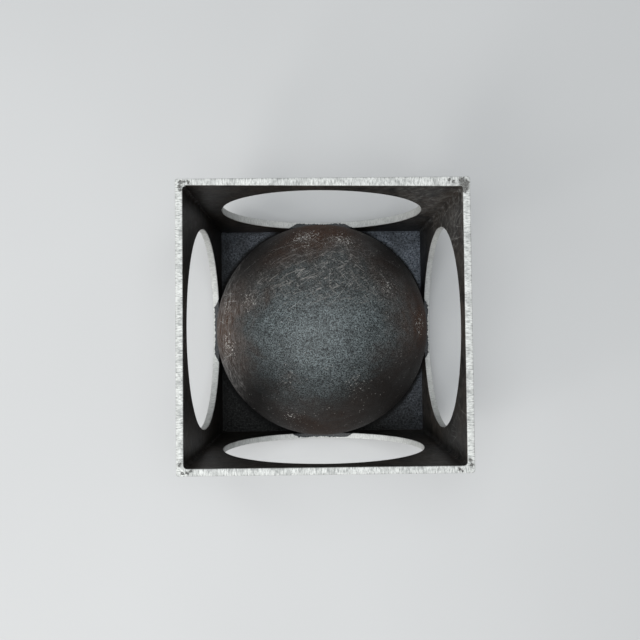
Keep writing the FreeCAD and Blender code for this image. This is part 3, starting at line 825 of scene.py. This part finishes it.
def make_corner_weld(name, x_way, y_way, fill, outer, material, seed):
    """Weld that fills a corner of the box: ground flush and rounded outside, a rippled fillet inside."""
    inner, side = INNER_HALF, SIDE / 2
    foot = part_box(name)[0].z
    straight = RIM - EDGE_ROUND - WALL_FOOT
    levels = [(foot + up, inset) for up, inset in rounding(FOOT_ROUND, (90, 72, 54, 36, 18, 0))]
    levels += [(WALL_FOOT - 0.04 * MM, 0.0), (WALL_FOOT, 0.0)]
    levels += [(WALL_FOOT + straight * n / WELD_STEPS, 0.0) for n in range(1, WELD_STEPS + 1)]
    levels += [(RIM - down, inset) for down, inset in rounding(EDGE_ROUND, (22.5, 45, 67.5, 90))]
    points = []
    for height, inset in levels:
        ripple, swell = (relief((0, 0, height), size, seed) for size in (2 * MM, 9 * MM))
        bead = fill * (1 + 0.16 * ripple + 0.12 * swell)
        bead = max(0.4 * MM, bead - inset) if height >= WALL_FOOT else NO_FILLET
        curve = max(0.1 * MM, outer - inset)
        face = side - inset
        middle = face - curve
        ring = arc((inner - bead, inner - bead), bead, 0, 90, 10)
        ring += [(inner - bead, inner + TUCK), (inner, inner + TUCK), (inner, face), (middle, face)]
        ring += arc((middle, middle), curve, 90, 0, 10)[1:-1]
        ring += [(face, middle), (face, inner), (inner + TUCK, inner), (inner + TUCK, inner - bead)]
        drop = inset / EDGE_ROUND if height > RIM - EDGE_ROUND else 0.0
        for a, b in ring:
            x, y = x_way * a, y_way * b
            points.append(Vector((x, y, height - drop * rim_drop(x, y))))
    count = len(ring)
    last = len(points) - count
    faces = ring_faces(len(levels), count)
    faces += [tuple(range(count)), tuple(range(last, last + count))]
    weld = make_mesh(f"{name}_bead", points, faces, material)
    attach(weld, "box")
    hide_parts(name)


# ---------------------------------------------------------------- ball

BALL_AROUND = 640                 # points round the ball
OUTSIDE_RINGS = 150               # from the top to the lip
INSIDE_RINGS = 60                 # from the lip back to the top
SHELL_WALL = 2 * MM
LIP_ROUND = 0.4 * MM              # radius of the lip's outer edge
LIP = ((0.25, 0.3), (0.7, 0.05), (1.3, 0.0))    # points of that edge, (inward, up) in its radii
TOP_DIP = 0.06 * MM               # how far the unevenness lowers the top


def ball_section():
    """Half section of the shell from the top outside, round the lip and back to the top inside."""
    rise = BALL_MIDDLE - SHELL_LOW.z
    inner = BALL_RADIUS - SHELL_WALL
    flat = math.sqrt(BALL_RADIUS ** 2 - rise ** 2)
    lowest = math.degrees(math.asin(rise / BALL_RADIUS))
    lowest_in = math.degrees(math.asin(rise / inner))
    lip = math.degrees(1.3 * LIP_ROUND / BALL_RADIUS)
    section = arc((0, 0), BALL_RADIUS, 90, lip - lowest, OUTSIDE_RINGS)[1:]
    section += [(flat - LIP_ROUND * inward, -rise + LIP_ROUND * up) for inward, up in LIP]
    return section + arc((0, 0), inner, -lowest_in, 90, INSIDE_RINGS)[:-1]


def make_ball(material):
    """The ball's shell, spun slightly uneven so that reflections waver as on hand-finished steel."""
    section = ball_section()
    points = []
    for n, (reach, high) in enumerate(section):
        for k in range(BALL_AROUND):
            angle = 2 * math.pi * k / BALL_AROUND
            point = Vector((reach * math.cos(angle), reach * math.sin(angle), high))
            if n < OUTSIDE_RINGS:
                uneven = 0.05 * (1 + relief(point, 16 * MM, 1)) + 0.018 * (1 + relief(point, 5 * MM, 2))
                point *= 1 - uneven * MM / BALL_RADIUS
            points.append(point + Vector((0, 0, BALL_MIDDLE)))
    top = len(points)
    points.append(Vector((0, 0, BALL_MIDDLE + BALL_RADIUS - TOP_DIP)))
    points.append(Vector((0, 0, BALL_MIDDLE + BALL_RADIUS - SHELL_WALL)))
    faces = ring_faces(len(section), BALL_AROUND)
    faces += fan(top, 0, BALL_AROUND)
    faces += fan(top + 1, top - BALL_AROUND, BALL_AROUND)
    ball = make_mesh("ball_shell", points, faces, material)
    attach(ball, "dome")
    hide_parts("dome_shell")


# ---------------------------------------------------------------- felt pad

FELT_CORNER = 6 * MM
FELT_RINGS = 24                   # from the middle to the edge, on each face
FELT_EDGE = 0.006                 # share of the half side that the edge's rounding takes
FLUFF = ((0.12 * MM, 1.6 * MM, 4), (0.05 * MM, 0.7 * MM, 6))    # (depth, size, seed)


def make_felt(material):
    """Felt pad: a cut sheet with rounded corners, fluffy edges and a softly uneven face."""
    low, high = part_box("felt_pad")
    half, thick = (high.x - low.x) / 2, high.z - low.z
    middle = half - FELT_CORNER
    quarter = [(half, middle * (n / 20 - 1)) for n in range(40)]
    quarter += arc((middle, middle), FELT_CORNER, 0, 90, 12)[:-1]
    outline = []
    for turn in range(4):
        swing = Matrix.Rotation(math.radians(90 * turn), 2)
        outline += [swing @ Vector(p) for p in quarter]
    edge = [math.radians(turn) for turn in range(0, 181, 20)]
    levels = [(n / FELT_RINGS, 0.0) for n in range(1, FELT_RINGS)]
    levels += [(1 - FELT_EDGE + FELT_EDGE * math.sin(a), thick * (1 - math.cos(a)) / 2) for a in edge]
    levels += [(1 - n / FELT_RINGS, thick) for n in range(1, FELT_RINGS)]
    points = []
    for share, height in levels:
        for p in outline:
            at = Vector((p.x * share, p.y * share, low.z + height))
            fluff = abs(sum(depth * relief(at, size, seed) for depth, size, seed in FLUFF))
            if height == 0.0:
                at.z += fluff
            elif height < thick:
                at.x -= fluff * math.copysign(1, p.x)
                at.y -= fluff * math.copysign(1, p.y)
            points.append(at)
    count, end = len(outline), len(points)
    points += [Vector((0, 0, low.z)), Vector((0, 0, low.z + thick))]
    faces = ring_faces(len(levels), count) + fan(end, 0, count) + fan(end + 1, end - count, count)
    pad = make_mesh("felt_sheet", points, faces, material)
    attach(pad, "box")
    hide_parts("felt_pad")


# ---------------------------------------------------------------- carried-over CAD nodes

def give(node, material):
    """Give a CAD node's object its finished material."""
    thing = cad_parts[node]
    for slot in thing.material_slots:
        slot.material = material


# ---------------------------------------------------------------- camera, floor and light

LENS, SENSOR = 38.39, 36.0                            # focal length and sensor width, mm
CAMERA_PLACE = Vector((-0.0334 * SIDE, -0.0563 * SIDE, RIM + 2.2917 * SIDE))
CAMERA_TURN = Vector((-0.03226, 0.00822, 0.01047))    # axis times radians, from straight down
FLOOR_HALF = 3.0
WORLD_LEVEL = 0.17
WORLD_TINT = (0.93, 0.96, 1.0, 1)
LAMP_SIDE = 1.0
LAMPS = (                                             # name, place, power in W, tint
    ("soft_top", (-0.08, 0.04, 1.5), 18.0, (0.94, 0.98, 1.0)),
    ("soft_key", (-0.8, -0.7, 1.0), 13.0, (1.0, 0.99, 0.97)),
)


def make_camera():
    """A view almost straight down, from a little in front and to the left of the middle."""
    data = bpy.data.cameras.new("camera")
    data.sensor_width = SENSOR
    data.lens = LENS
    data.clip_start = 0.01
    data.clip_end = 20
    camera = bpy.data.objects.new("camera", data)
    bpy.context.scene.collection.objects.link(camera)
    tilt = Matrix.Rotation(CAMERA_TURN.length, 3, CAMERA_TURN.normalized()).transposed()
    camera.matrix_world = Matrix.Translation(CAMERA_PLACE) @ tilt.to_4x4()
    bpy.context.scene.camera = camera


def make_floor():
    corners = [(x * FLOOR_HALF, y * FLOOR_HALF, 0) for x, y in ((-1, -1), (1, -1), (1, 1), (-1, 1))]
    floor = make_mesh("studio_floor", corners, [(0, 1, 2, 3)], pale_floor(), smooth=False)


def make_light(name, where, power, tint):
    """A square lamp that faces the middle of the floor."""
    data = bpy.data.lights.new(name, "AREA")
    data.shape = "RECTANGLE"
    data.size = data.size_y = LAMP_SIDE
    data.energy = power
    data.color = tint
    lamp = bpy.data.objects.new(name, data)
    lamp.location = where
    lamp.rotation_euler = (-Vector(where)).to_track_quat("-Z", "Y").to_euler()
    bpy.context.scene.collection.objects.link(lamp)


def make_world():
    world = bpy.data.worlds.new("studio")
    world.use_nodes = True
    background = world.node_tree.nodes["Background"]
    background.inputs["Color"].default_value = WORLD_TINT
    background.inputs["Strength"].default_value = WORLD_LEVEL
    bpy.context.scene.world = world


# ---------------------------------------------------------------- build

make_camera()
make_floor()
make_world()
for lamp in LAMPS:
    make_light(*lamp)
bpy.context.scene.view_settings.view_transform = "Standard"

steel = plate_steel()
make_wall("wall_front", 0, steel, 1)
make_wall("wall_right", 90, steel, 2)
make_wall("wall_back", 180, steel, 3, at_foot=0.8 * MM, at_rim=(1.0 * MM, -0.4 * MM))
make_wall("wall_left", 270, steel, 4, at_foot=0.5 * MM)
for side in ("front", "right", "back", "left"):
    give(f"base_weld_{side}", steel)
weld = weld_steel()
make_corner_weld("corner_weld_front_left", -1, -1, 1.4 * MM, 1.1 * MM, weld, 5)
make_corner_weld("corner_weld_front_right", 1, -1, 1.6 * MM, 1.4 * MM, weld, 6)
make_corner_weld("corner_weld_back_left", -1, 1, 1.4 * MM, 0.9 * MM, weld, 7)
make_corner_weld("corner_weld_back_right", 1, 1, 2.6 * MM, 1.3 * MM, weld, 8)
give("base_plate", base_steel())
make_ball(ball_steel())
make_felt(felt())
floor_steel = hidden_steel()
nickel = plated_steel()
for node in ("dome_floor", "floor_lugs"):
    give(node, floor_steel)
for node in ("magnet_cup", "pivot_bolt", "nut_washer", "lock_nut", "floor_screws"):
    give(node, nickel)
give("ferrite_ring", ferrite())
give("thrust_washer", slide_plastic())
give("pivot_bush", bronze())
